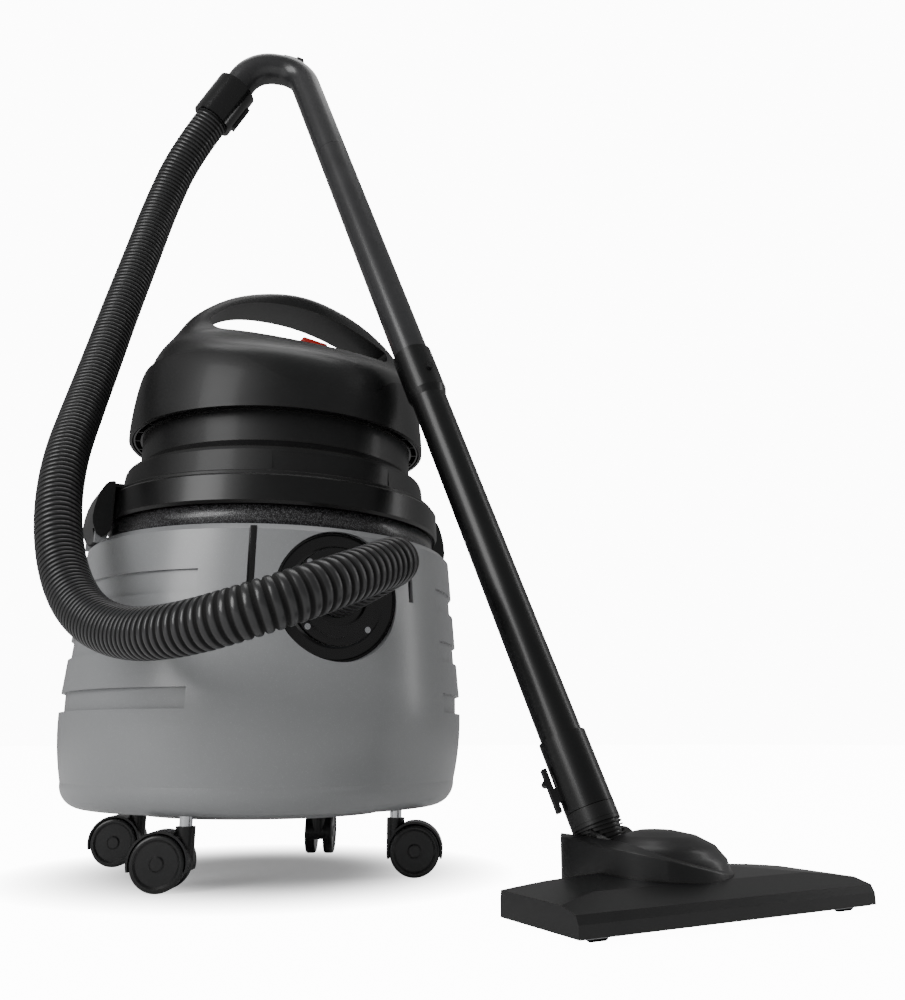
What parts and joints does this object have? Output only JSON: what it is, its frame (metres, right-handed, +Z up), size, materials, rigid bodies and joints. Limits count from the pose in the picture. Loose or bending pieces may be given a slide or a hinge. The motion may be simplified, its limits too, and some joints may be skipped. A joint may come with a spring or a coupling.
{
  "type": "wet-and-dry drum vacuum cleaner",
  "caption": "Wet-and-dry drum vacuum on twin-wheel castors, with latched motor head, ribbed hose, bent handle, sectional wand and tilting floor nozzle.",
  "frame": {"origin": "floor level on the tub's axis, between the castors", "axes": "+X to the right of the cleaner seen from its hose inlet, -Y out of the inlet towards the front, +Z up the tub's axis"},
  "size_m": [0.6156, 0.685, 1.0266],
  "materials": {
    "tub_plastic": "satin",
    "black_plastic": "satin",
    "hose_plastic": "gloss",
    "seal_rubber": "matt",
    "rocker_red": "gloss",
    "motor_steel": "brushed",
    "screw_steel": "bright",
    "stem_chrome": "bright",
    "castor_plastic": "satin",
    "float_plastic": "gloss",
    "filter_cloth": "matt",
    "brush_fibre": "matt"
  },
  "bodies": {
    "canister": {"tub": "tub_plastic", "clamp_ring": "black_plastic", "head_gasket": "seal_rubber", "head_base": "black_plastic", "motor_cover": "black_plastic", "cover_skirt": "black_plastic", "blower_outlet": "black_plastic", "vent_ring": "black_plastic", "switch_bezel": "black_plastic", "fan_housing": "black_plastic", "motor_can": "motor_steel", "float_cage": "black_plastic", "filter_sleeve": "filter_cloth", "filter_plate": "black_plastic", "inlet_flange": "black_plastic", "inlet_screws": "screw_steel", "hose_elbow": "black_plastic", "hose_collar": "black_plastic", "hose": "hose_plastic", "hose_cuff": "black_plastic", "latch_pins": "screw_steel", "cover_screws": "screw_steel", "cord_gland": "black_plastic"},
    "left_latch": {"latch_left": "black_plastic"},
    "right_latch": {"latch_right": "black_plastic"},
    "rocker": {"switch_rocker": "rocker_red"},
    "rotor": {"motor_rotor": "motor_steel"},
    "float": {"float_ball": "float_plastic"},
    "handle": {"handle_tube": "black_plastic"},
    "slider": {"air_slider": "black_plastic"},
    "upper_wand": {"upper_tube": "black_plastic"},
    "lower_wand": {"lower_tube": "black_plastic"},
    "button": {"tube_button": "black_plastic"},
    "socket": {"nozzle_socket": "black_plastic", "parking_clip": "black_plastic"},
    "elbow": {"nozzle_elbow": "black_plastic"},
    "floor_head": {"pivot_pins": "screw_steel", "neck_housing": "black_plastic", "nozzle_base": "black_plastic", "sole_plate": "motor_steel", "brush_strips": "brush_fibre", "roller_pins": "screw_steel"},
    "left_roller": {"roller_left": "castor_plastic"},
    "right_roller": {"roller_right": "castor_plastic"},
    "castor_front_left": {"castor_hood_front_left": "castor_plastic", "castor_stem_front_left": "stem_chrome"},
    "wheels_front_left": {"castor_axle_front_left": "stem_chrome", "castor_wheels_front_left": "castor_plastic"},
    "castor_front_right": {"castor_hood_front_right": "castor_plastic", "castor_stem_front_right": "stem_chrome"},
    "wheels_front_right": {"castor_axle_front_right": "stem_chrome", "castor_wheels_front_right": "castor_plastic"},
    "castor_back_right": {"castor_hood_back_right": "castor_plastic", "castor_stem_back_right": "stem_chrome"},
    "wheels_back_right": {"castor_axle_back_right": "stem_chrome", "castor_wheels_back_right": "castor_plastic"},
    "castor_back_left": {"castor_hood_back_left": "castor_plastic", "castor_stem_back_left": "stem_chrome"},
    "wheels_back_left": {"castor_axle_back_left": "stem_chrome", "castor_wheels_back_left": "castor_plastic"}
  },
  "joints": [
    {"name": "swivel_front_left", "type": "hinge", "parent": "canister", "child": "castor_front_left", "pos_m": [-0.10607, -0.10607, 0.06], "axis": [0, 0, 1], "continuous": true},
    {"name": "roll_front_left", "type": "hinge", "parent": "castor_front_left", "child": "wheels_front_left", "pos_m": [-0.12356, -0.09637, 0.025], "axis": [0.4848, 0.8746, 0], "continuous": true},
    {"name": "swivel_front_right", "type": "hinge", "parent": "canister", "child": "castor_front_right", "pos_m": [0.10607, -0.10607, 0.06], "axis": [0, 0, 1], "continuous": true},
    {"name": "roll_front_right", "type": "hinge", "parent": "castor_front_right", "child": "wheels_front_right", "pos_m": [0.12356, -0.11576, 0.025], "axis": [-0.4848, -0.8746, 0], "continuous": true},
    {"name": "swivel_back_right", "type": "hinge", "parent": "canister", "child": "castor_back_right", "pos_m": [0.10607, 0.10607, 0.06], "axis": [0, 0, 1], "continuous": true},
    {"name": "roll_back_right", "type": "hinge", "parent": "castor_back_right", "child": "wheels_back_right", "pos_m": [0.11576, 0.12356, 0.025], "axis": [0.8746, -0.4848, 0], "continuous": true},
    {"name": "swivel_back_left", "type": "hinge", "parent": "canister", "child": "castor_back_left", "pos_m": [-0.10607, 0.10607, 0.06], "axis": [0, 0, 1], "continuous": true},
    {"name": "roll_back_left", "type": "hinge", "parent": "castor_back_left", "child": "wheels_back_left", "pos_m": [-0.12356, 0.11576, 0.025], "axis": [0.4848, 0.8746, 0], "continuous": true},
    {"name": "latch_left", "type": "hinge", "parent": "canister", "child": "left_latch", "pos_m": [-0.1915, 0, 0.337], "axis": [0, -1, 0], "range_deg": [0, 75]},
    {"name": "latch_right", "type": "hinge", "parent": "canister", "child": "right_latch", "pos_m": [0.1915, 0, 0.337], "axis": [0, 1, 0], "range_deg": [0, 75]},
    {"name": "switch_rock", "type": "hinge", "parent": "canister", "child": "rocker", "pos_m": [0.028, -0.024, 0.574], "axis": [0, 1, 0], "range_deg": [0, 8]},
    {"name": "motor_spin", "type": "hinge", "parent": "canister", "child": "rotor", "pos_m": [0, 0, 0.5], "axis": [0, 0, 1], "continuous": true},
    {"name": "float_rise", "type": "slide", "parent": "canister", "child": "float", "axis": [0, 0, 1], "range_m": [0, 0.053]},
    {"name": "handle_swivel", "type": "hinge", "parent": "canister", "child": "handle", "pos_m": [-0.082, 0.076, 0.929], "axis": [0.4581, -0.2235, 0.8603], "range_deg": [-8, 3]},
    {"name": "air_slide", "type": "hinge", "parent": "handle", "child": "slider", "pos_m": [-0.01642, 0.03339, 0.9663], "axis": [-0.334, -0.893, 0.3017], "range_deg": [-14, 0]},
    {"name": "upper_pull", "type": "slide", "parent": "handle", "child": "upper_wand", "axis": [0.1585, -0.3687, -0.916], "range_m": [0, 0.055]},
    {"name": "lower_pull", "type": "slide", "parent": "upper_wand", "child": "lower_wand", "axis": [0.1585, -0.3687, -0.916], "range_m": [0, 0.05]},
    {"name": "button_press", "type": "slide", "parent": "lower_wand", "child": "button", "axis": [0.0305, 0.9291, -0.3687], "range_m": [0, 0.0012], "stiffness_N_per_m": 400, "springref_m": -0.001},
    {"name": "nozzle_pull", "type": "slide", "parent": "lower_wand", "child": "socket", "axis": [0.1585, -0.3687, -0.916], "range_m": [0, 0.045]},
    {"name": "nozzle_swivel", "type": "hinge", "parent": "socket", "child": "elbow", "pos_m": [0.17708, -0.34174, 0.07], "axis": [-0.1585, 0.3687, 0.916], "range_deg": [-45, 45]},
    {"name": "nozzle_tilt", "type": "hinge", "parent": "elbow", "child": "floor_head", "pos_m": [0.1815, -0.3525, 0.042], "axis": [1, 0, 0], "range_deg": [-20, 45]},
    {"name": "roller_left_spin", "type": "hinge", "parent": "floor_head", "child": "left_roller", "pos_m": [0.086, -0.462, 0.007], "axis": [1, 0, 0], "continuous": true},
    {"name": "roller_right_spin", "type": "hinge", "parent": "floor_head", "child": "right_roller", "pos_m": [0.33, -0.462, 0.007], "axis": [1, 0, 0], "continuous": true}
  ]
}
